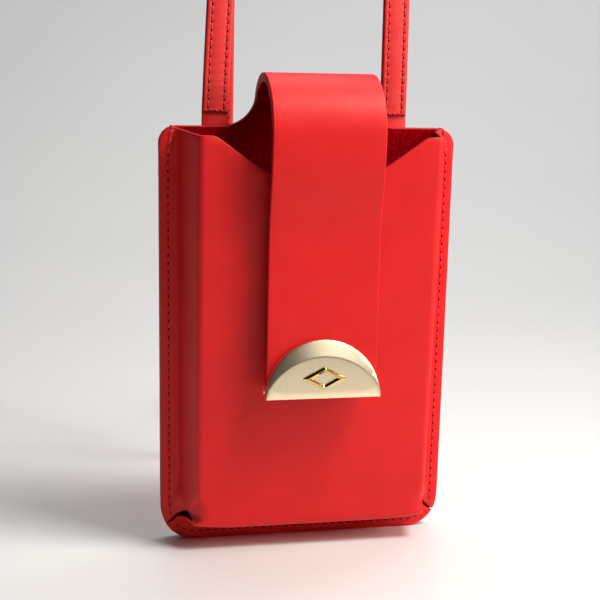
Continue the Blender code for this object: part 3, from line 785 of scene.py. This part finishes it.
def rounded(a, corner, b, cut, steps):
    """A corner between a and b eased from cut before it to cut after it."""
    corner = Vector(corner)
    start = corner + (Vector(a) - corner).normalized() * cut
    end = corner + (Vector(b) - corner).normalized() * cut
    points = []
    for step in range(steps + 1):
        t = step / steps
        points.append(start.lerp(corner, t).lerp(corner.lerp(end, t), t))
    return points


def wall_profile(lean):
    """(inset, share of the rise) from the flange's outer edge to just past the fold."""
    rise = DEPTH_TOP - FLANGE_DEPTH
    edge, foot, fold = (0.0, 0.0), (FLANGE, 0.0), (FLANGE + lean, rise)
    beyond = (FLANGE + lean + 0.02, rise)
    points = [Vector(edge)]
    points += rounded(edge, foot, fold, BASE_ROUND, 6)
    points += rounded(foot, fold, beyond, FOLD_ROUND, 10)
    return [(p.x, p.y / rise) for p in points]


SIDE_PROFILE = wall_profile(SIDE_LEAN)
BASE_PROFILE = wall_profile(BOTTOM_LEAN)


def share_at(profile, distance):
    return float(np.interp(distance, [p[0] for p in profile], [p[1] for p in profile]))


def panel_edge_distance(x, z):
    """How far a point of the flange is inside the panel's outline."""
    side = panel_half(z) - abs(x)
    corner_x, corner_z = PANEL_HALF_BOTTOM - BOTTOM_CORNER, BOTTOM_CORNER
    if abs(x) > corner_x and z < corner_z:
        return BOTTOM_CORNER - math.hypot(abs(x) - corner_x, z - corner_z)
    return min(side, z)


def front_relief(x, z):
    """Small forms of the front: a faint crown and the trough that the seam pulls in."""
    height = math.sin(math.pi * min(max(z / 0.15, 0), 1))
    crown = 0.00035 * max(0.0, 1 - (x / 0.045) ** 2) * height
    trough = 0.00016 * math.exp(-(((panel_edge_distance(x, z) - SEAM_MARGIN) / 0.0005) ** 2))
    return crown - trough


def corner_lift(x):
    """How far the bottom wall is drawn up at x."""
    past = min(max(abs(x) - LIFT_START, 0.0) / (LIFT_END - LIFT_START), 1.0)
    return CORNER_LIFT * past**2


def front_place(point):
    x, z = point
    base = share_at(BASE_PROFILE, z - corner_lift(x))
    share = min(share_at(SIDE_PROFILE, panel_half(z) - abs(x)), base)
    depth = DEPTH_BOTTOM + (DEPTH_TOP - DEPTH_BOTTOM) * z / PANEL_HEIGHT
    forward = FLANGE_DEPTH + share * (depth - FLANGE_DEPTH)
    return Vector((x, POUCH_BACK_Y - forward - front_relief(x, z), z))


def front_inner(point):
    """The leather's inner face, measured along the outer face's normal."""
    here, step = Vector(point), 0.00015
    across = front_place(here + Vector((step, 0))) - front_place(here - Vector((step, 0)))
    upward = front_place(here + Vector((0, step))) - front_place(here - Vector((0, step)))
    normal = upward.cross(across).normalized()
    return front_place(here) + normal * FRONT_LEATHER * (1 if normal.y > 0 else -1)


def mitred_corner():
    """The outline at the lower right corner with the open mitre between the two walls."""
    low = BOTTOM_CORNER
    centre = (PANEL_HALF_BOTTOM - low, low)
    lower = arc(centre, low, -math.pi / 2, math.radians(-31), 10)
    upper = arc(centre, low, math.radians(-28.5), 0, 6)
    below = [(0.0544, 0.0084), (0.0529, 0.0102), (0.0513, 0.0114), (0.0498, 0.0121), (0.0486, 0.0122)]
    beside = [(0.0488, 0.0133), (0.0501, 0.0150), (0.0512, 0.0138), (0.0532, 0.0112), (0.0549, 0.0091)]
    return lower + below + beside + upper


def front_outline():
    """The front from the bottom's middle round a mitre and the top's wide notch, then mirrored."""
    half = [(x, 0.0) for x in np.linspace(0.0, 0.044, 12)]
    half += mitred_corner()
    half += [(panel_half(z), z) for z in np.linspace(0.018, 0.160, 36)]
    centre = (PANEL_HALF_TOP - TOP_CORNER, PANEL_HEIGHT - TOP_CORNER)
    half += arc(centre, TOP_CORNER, 0.08, math.radians(78), 8)
    foot = (PANEL_HALF_TOP - FLANGE, FRONT_TOP + FRONT_TOP_RISE)
    fold = (foot[0] - SIDE_LEAN, FRONT_TOP)
    half += [tuple(p) for p in rounded(half[-1], foot, fold, 0.0009, 3)]
    half += [tuple(Vector(foot).lerp(Vector(fold), k / 4)) for k in (2, 3)]
    half.append(fold)
    bowl_centre = (0, NOTCH_BOTTOM + NOTCH_RADIUS)
    bowl = arc(bowl_centre, NOTCH_RADIUS, -math.pi / 2, -math.pi / 2 + NOTCH_SLOPE, 10)
    reach = (FRONT_TOP - bowl[-1][1]) / math.tan(NOTCH_SLOPE)
    lip = (bowl[-1][0] + reach, FRONT_TOP)
    half += [(fold[0] + (lip[0] - fold[0]) * k / 9, FRONT_TOP) for k in range(1, 9)]
    half += [tuple(p) for p in rounded(fold, lip, bowl[-1], 0.0022, 4)]
    half += [tuple(Vector(lip).lerp(Vector(bowl[-1]), k / 6)) for k in range(1, 6)]
    half += list(reversed(bowl))
    return half[:-1] + [(-x, z) for x, z in reversed(half[1:])]


def make_front():
    """The moulded front. Its points follow the foot, the fold, the seam's trough and the creases."""
    outline = front_outline()
    points = []
    for inset_x, _ in SIDE_PROFILE[1:]:
        for z in [p[0] for p in BASE_PROFILE[1:]] + list(np.linspace(0.022, 0.165, 40)):
            for sign in (-1, 1):
                points.append((sign * (panel_half(z) - inset_x), z))
    columns = np.linspace(-0.042, 0.042, 22)
    for inset_z, _ in BASE_PROFILE[1:]:
        points += [(x, inset_z + corner_lift(x)) for x in columns]
    points += [(x, z) for x in columns for z in np.linspace(0.019, 0.163, 30)]
    for margin in (SEAM_MARGIN - 0.0005, SEAM_MARGIN, SEAM_MARGIN + 0.0005, SEAM_MARGIN + 0.0012):
        points += [tuple(p) for p in spaced(seam_line(margin), PITCH / 6)]
    rim = [
        (0.00030, 0.0, 0),
        (0.00010, 0.06, 0),
        (0.0, 0.22, 1),
        (0.0, 0.78, 1),
        (0.00010, 0.94, 1),
        (0.00030, 1.0, 1),
    ]
    crease = []
    for (inset_x, _), (inset_z, _) in zip(SIDE_PROFILE[8:], BASE_PROFILE[8:]):
        x = panel_half(inset_z) - inset_x
        crease.append((x, inset_z + corner_lift(x)))
    creases = [crease, [(-x, z) for x, z in crease]]
    slab(
        "front_leather",
        outline,
        points,
        front_place,
        front_inner,
        rim,
        (LEATHER, EDGE, SUEDE),
        "root",
        ["front_panel"],
        creases,
    )


# --- Seams ----------------------------------------------------------------------------------


def seam_line(margin):
    """The stitch line from the top left round the bottom to the top right, in X and Z."""
    low = BOTTOM_CORNER
    half = [(0.0, margin)]
    half += arc((PANEL_HALF_BOTTOM - low, low), low - margin, -math.pi / 2, 0, 14)
    turn_z, reach = PANEL_HEIGHT - 0.0160, 0.0150
    for k in range(7):
        z = turn_z + reach * k / 6
        half.append((panel_half(z) - margin - (SEAM_TOP_MARGIN - SEAM_MARGIN) * (k / 6) ** 2, z))
    return [(-x, z) for x, z in reversed(half)] + half[1:]


def edge_above(x):
    """The height of the panel's rounded top corner at x."""
    past = max(abs(x) - (PANEL_HALF_TOP - TOP_CORNER), 0.0)
    return PANEL_HEIGHT - TOP_CORNER + math.sqrt(max(TOP_CORNER**2 - past**2, 0.0))


def end_wrap(body, end, front_y, back_y):
    """The thread over the panel's top edge, from a seam's last hole in front to the one behind."""
    top = edge_above(end.x)
    loop = [
        (front_y, end.y),
        (front_y - 0.0002, end.y + 0.0004),
        (front_y - 0.0002, top - 0.0003),
        (front_y + 0.0004, top + 0.0001),
        (back_y - 0.0004, top + 0.0001),
        (back_y + 0.0003, top - 0.0003),
        (back_y + 0.0003, end.y + 0.0004),
        (back_y, end.y),
    ]
    over = math.copysign(0.0006, end.x) / (len(loop) - 1)
    line = [Vector((end.x - over * k, y, z)) for k, (y, z) in enumerate(loop)]
    tube(body, line, THREAD_RADIUS * 1.6, 8)


def make_seams():
    places = spaced(seam_line(SEAM_MARGIN), PITCH)
    stitches = len(places) - 1
    thick = (*range(SEWN_OVER), *range(stitches - SEWN_OVER, stitches))
    front_y = POUCH_BACK_Y - FLANGE_DEPTH + 0.00012
    threads = ["seam_thread_left", "seam_thread_right", "seam_thread_bottom"]
    for word, y, facing, stands_for in (("front", front_y, -1, threads), ("back", REAR_Y, 1, ())):
        body = bmesh.new()
        holes = [Vector((p.x, y, p.y)) for p in places]
        stitch_row(body, holes, Vector((0, facing, 0)), thick)
        add("seam_stitches_" + word, body, (THREAD, HOLE_SHADE), "root", stands_for)
    body = bmesh.new()
    for end in (places[0], places[-1]):
        end_wrap(body, end, front_y, REAR_Y - 0.0001)
    add("seam_end_wraps", body, (THREAD,), "root")


# --- Clasp ----------------------------------------------------------------------------------

CLASP_FACE_Y = POUCH_BACK_Y - FLAP_OUTER_DEPTH - GAP - CLASP_THICKNESS


def clasp_front(point):
    """The flat face, and past its edge the crescent that falls back."""
    x, z = point
    beyond = math.hypot(x, z - FACE_CENTRE_Z) - FACE_RADIUS
    drop = 0.5 * (beyond + math.hypot(beyond, EDGE_SOFTNESS)) * BEVEL_DROP / BEVEL_RUN
    return Vector((x, CLASP_FACE_Y + drop, z))


def half_moon(radius, chord_z, steps):
    """A half disc above its chord, the tips cut square."""
    low = math.asin(2 * GAP / radius)
    tip = radius * math.cos(low)
    bow = arc((0, chord_z), radius, low, math.pi - low, steps)
    chord = [(x, chord_z) for x in np.linspace(-radius * 0.94, radius * 0.94, 24)]
    return chord + [(tip, chord_z)] + bow + [(-tip, chord_z)]


def make_clasp():
    points = []
    for beyond in (-0.0006, -0.0003, -0.0001, 0.0001, 0.0003, 0.0006, 0.002, 0.004):
        points += arc((0, FACE_CENTRE_Z), FACE_RADIUS + beyond, 0.2, math.pi - 0.2, 70)
    points += grid(0.004, 0.004, CHORD_Z + 0.003, CHORD_Z + 0.012, 0.016)
    rim = [
        (0.00040, 0.0, 0),
        (0.00018, 0.02, 0),
        (0.00005, 0.07, 0),
        (0.0, 0.14, 0),
        (0.0, 0.95, 0),
        (0.00020, 1.0, 0),
    ]
    outline = half_moon(CLASP_RADIUS, CHORD_Z, 64)
    back_y = POUCH_BACK_Y - FLAP_OUTER_DEPTH - GAP
    slab(
        "clasp_half_moon",
        outline,
        points,
        clasp_front,
        lambda p: Vector((p[0], back_y, p[1])),
        rim,
        (GOLD,),
        "flap",
        ["clasp_shell"],
    )
    make_emblem()


def make_emblem():
    """A plain lozenge frame, raised on the face: its ridge runs round an open middle."""
    body = bmesh.new()
    profile = [(1.0, 0.0), (0.97, 0.0005), (0.80, 0.0010), (0.76, 0.0010), (0.58, 0.0004), (0.56, -0.0002)]
    rings = []
    for share, height in profile:
        w, h = (share * half for half in EMBLEM_HALF)
        corners = [Vector((w, 0)), Vector((0, h)), Vector((-w, 0)), Vector((0, -h))]
        loop = []
        for k, corner in enumerate(corners):
            loop += rounded(corners[k - 1], corner, corners[(k + 1) % 4], EMBLEM_CORNER, 5)
        rings.append([body.verts.new((p.x, CLASP_FACE_Y - height, EMBLEM_Z + p.y)) for p in loop])
    count = len(rings[0])
    for a, b in zip(rings, rings[1:]):
        for k in range(count):
            j = (k + 1) % count
            body.faces.new((a[k], a[j], b[j], b[k]))
    back = [body.verts.new(v.co + Vector((0, 0.0003, 0))) for v in rings[0]]
    for k in range(count):
        j = (k + 1) % count
        body.faces.new((back[k], back[j], rings[0][j], rings[0][k]))
        body.faces.new((rings[-1][k], rings[-1][j], back[j], back[k]))
    emblem = add("clasp_lozenge", body, (POLISHED,), "flap", ["clasp_emblem"])
    emblem.data.set_sharp_from_angle(angle=math.radians(32))


# --- Card pocket and strap tabs -------------------------------------------------------------


def flat(y):
    """Puts a flat outline in the plane at y."""
    return lambda p: Vector((p[0], y, p[1]))


THIN_RIM = [
    (0.00030, 0.0, 0),
    (0.00010, 0.10, 1),
    (0.0, 0.30, 1),
    (0.0, 0.70, 1),
    (0.00010, 0.90, 1),
    (0.00030, 1.0, 1),
]


def make_pocket():
    """A slip pocket on the back lining, open at the top with a hollow for the thumb."""
    half, low, high, corner = POCKET_HALF, POCKET_BOTTOM, POCKET_TOP, POCKET_CORNER
    right = [(x, low) for x in np.linspace(0.0, 0.036, 8)][1:]
    right += arc((half - corner, low + corner), corner, -math.pi / 2, 0, 6)
    right += [(half, z) for z in np.linspace(low + 0.010, high, 10)]
    right += [(x, high) for x in np.linspace(0.042, 0.012, 8)]
    right += arc((0, high), THUMB_RADIUS, 0, -math.pi / 2, 10)[:-1]
    outline = right + [(0, high - THUMB_RADIUS)] + [(-x, z) for x, z in reversed(right)] + [(0, low)]
    points = grid(0.008, 0.008, low, high, half)
    y = POUCH_BACK_Y - GAP - POCKET_LEATHER
    slab(
        "card_pocket_leather",
        outline,
        points,
        flat(y),
        flat(y + POCKET_LEATHER),
        THIN_RIM,
        (LEATHER, EDGE, LEATHER),
        "root",
        ["card_pocket"],
    )
    edge, foot, top = half - POCKET_SEAM_MARGIN, low + POCKET_SEAM_MARGIN, high - 0.002
    line = [(-edge, top), (-edge, foot), (edge, foot), (edge, top)]
    body = bmesh.new()
    holes = [Vector((p.x, y, p.y)) for p in spaced(line, PITCH)]
    stitch_row(body, holes, Vector((0, -1, 0)))
    add("pocket_stitches", body, (THREAD, HOLE_SHADE), "root", ["pocket_thread"])


def make_tabs():
    """The strap's ends sewn flat to the back of the panel, each with a box of stitches."""
    half, corner = STRAP_WIDTH / 2, TAB_CORNER
    near = REAR_Y + GAP
    far = near + TAB_THICKNESS
    for word, (x, _, strap_end, _) in (("left", STRAP_ROUTE[0]), ("right", STRAP_ROUTE[-1])):
        right = arc((half - corner, TAB_BOTTOM + corner), corner, -math.pi / 2, 0, 6)
        right += [(half, z) for z in np.linspace(TAB_BOTTOM + 2 * corner, strap_end + 0.002, 10)]
        outline = [(x + dx, z) for dx, z in mirrored(right)]
        slab(
            "strap_end_" + word,
            outline,
            [],
            flat(near),
            flat(far),
            THIN_RIM,
            (STRAP_LEATHER, EDGE, STRAP_LEATHER),
            "root",
            ["strap_tab_" + word],
        )
        w, low, high = half - 0.0022, TAB_BOTTOM + 0.0026, TAB_SEAM_TOP
        line = [(x - w, high), (x - w, low), (x + w, low), (x + w, high), (x - w, high)]
        body = bmesh.new()
        for a, b in zip(line, line[1:]):
            holes = [Vector((p.x, far, p.y)) for p in spaced((a, b), TAB_PITCH)]
            stitch_row(body, holes, Vector((0, 1, 0)))
        add("tab_stitches_" + word, body, (THREAD, HOLE_SHADE), "root", ["tab_thread_" + word])


# --- CAD nodes that stay --------------------------------------------------------------------


def dress_cad_nodes():
    """Better materials for the CAD parts that no piece replaces."""
    looks = {
        "front_lining": SUEDE,
        "clasp_back_plate": GOLD,
        "clasp_magnet": STEEL,
        "clasp_screw_left": STEEL,
        "clasp_screw_right": STEEL,
        "snap_rivet": STEEL,
        "snap_socket": STEEL,
        "snap_stud": STEEL,
        "snap_washer": STEEL,
    }
    for name, surface in looks.items():
        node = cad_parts[name]
        node.data.materials.clear()
        node.data.materials.append(surface)


# --- Stage ----------------------------------------------------------------------------------


def make_stage():
    """A pale glossy table that curves up into the backdrop."""
    surface = Surface("pale_table", 0.22, Specular_IOR_Level=0.18)
    surface.colour(surface.noise(3, 2), [(0.3, (0.77, 0.77, 0.77)), (0.7, (0.80, 0.80, 0.80))])
    surface.bump((surface.noise(40, 2), 0.02, 0.001))
    body = bmesh.new()
    half, near, start, rise, radius = 3.0, -1.6, 0.45, 2.6, 1.5
    profile = [(near, 0.0), (0.0, 0.0), (start, 0.0)]
    for turn in np.linspace(0.05, 1.57, 16):
        profile.append((start + radius * math.sin(turn), radius * (1 - math.cos(turn))))
    profile.append((start + radius, rise))
    lines = [[body.verts.new((x, y, z)) for x in (-half, half)] for y, z in profile]
    for a, b in zip(lines, lines[1:]):
        body.faces.new((a[0], a[1], b[1], b[0]))
    mesh = bpy.data.meshes.new("table")
    body.to_mesh(mesh)
    body.free()
    mesh.materials.append(surface.material)
    mesh.shade_smooth()
    table = bpy.data.objects.new("table", mesh)
    bpy.context.scene.collection.objects.link(table)


def area_light(name, place, aim, size, power, spread=180, colour=(1, 1, 1)):
    """A softbox at place that faces aim. spread is in degrees."""
    lamp = bpy.data.lights.new(name, "AREA")
    lamp.shape = "RECTANGLE"
    lamp.size, lamp.size_y = size
    lamp.energy = power
    lamp.color = colour
    lamp.spread = math.radians(spread)
    obj = bpy.data.objects.new(name, lamp)
    obj.location = place
    obj.rotation_euler = (Vector(aim) - Vector(place)).to_track_quat("-Z", "Y").to_euler()
    bpy.context.scene.collection.objects.link(obj)


def make_lights():
    """A high key from the right, a lower one beside it, a weak softbox in front, and a wide light
    over the backdrop, whose bounce fills the rest."""
    warm, centre, square = (1.0, 0.96, 0.90), (0, 0, 0.10), (0.28, 0.28)
    area_light("key", (0.347, -0.271, 0.707), centre, square, 2.8, 120, warm)
    area_light("side", (0.639, -0.298, 0.357), centre, square, 1.1, 120, warm)
    area_light("front", (0.285, -0.611, 0.429), centre, (0.45, 0.25), 0.5)
    area_light("backdrop", (0.52, 0.78, 1.30), (0.48, 0.90, 0.0), (1.8, 1.0), 12.8, 150)
    world = bpy.data.worlds.new("studio")
    world.use_nodes = True
    sky = world.node_tree.nodes["Background"]
    sky.inputs["Color"].default_value = (0.95, 0.96, 0.97, 1.0)
    sky.inputs["Strength"].default_value = 0.01
    bpy.context.scene.world = world
    bpy.context.scene.view_settings.view_transform = "Standard"


# --- Camera ---------------------------------------------------------------------------------


def make_camera():
    """A view from the left and a little above."""
    azimuth, elevation, roll = (math.radians(a) for a in (12.97, 10.07, 1.23))
    distance = 0.5499
    target = Vector((-0.0024, 0.0150, 0.0993))
    out = Vector((
        -math.sin(azimuth) * math.cos(elevation),
        -math.cos(azimuth) * math.cos(elevation),
        math.sin(elevation),
    ))
    right = (-out).cross(Vector((0, 0, 1))).normalized()
    up = right.cross(-out)
    turned_right = right * math.cos(roll) + up * math.sin(roll)
    turned_up = up * math.cos(roll) - right * math.sin(roll)
    lens = bpy.data.cameras.new("camera")
    lens.lens = 80.26
    lens.sensor_width = 36.0
    lens.clip_start = 0.01
    camera = bpy.data.objects.new("camera", lens)
    pose = Matrix((turned_right, turned_up, out)).transposed().to_4x4()
    pose.translation = target + out * distance
    camera.matrix_world = pose
    bpy.context.scene.collection.objects.link(camera)
    bpy.context.scene.camera = camera


make_camera()
make_lights()
make_stage()
make_strap()
make_strip()
make_front()
make_seams()
make_clasp()
make_pocket()
make_tabs()
dress_cad_nodes()
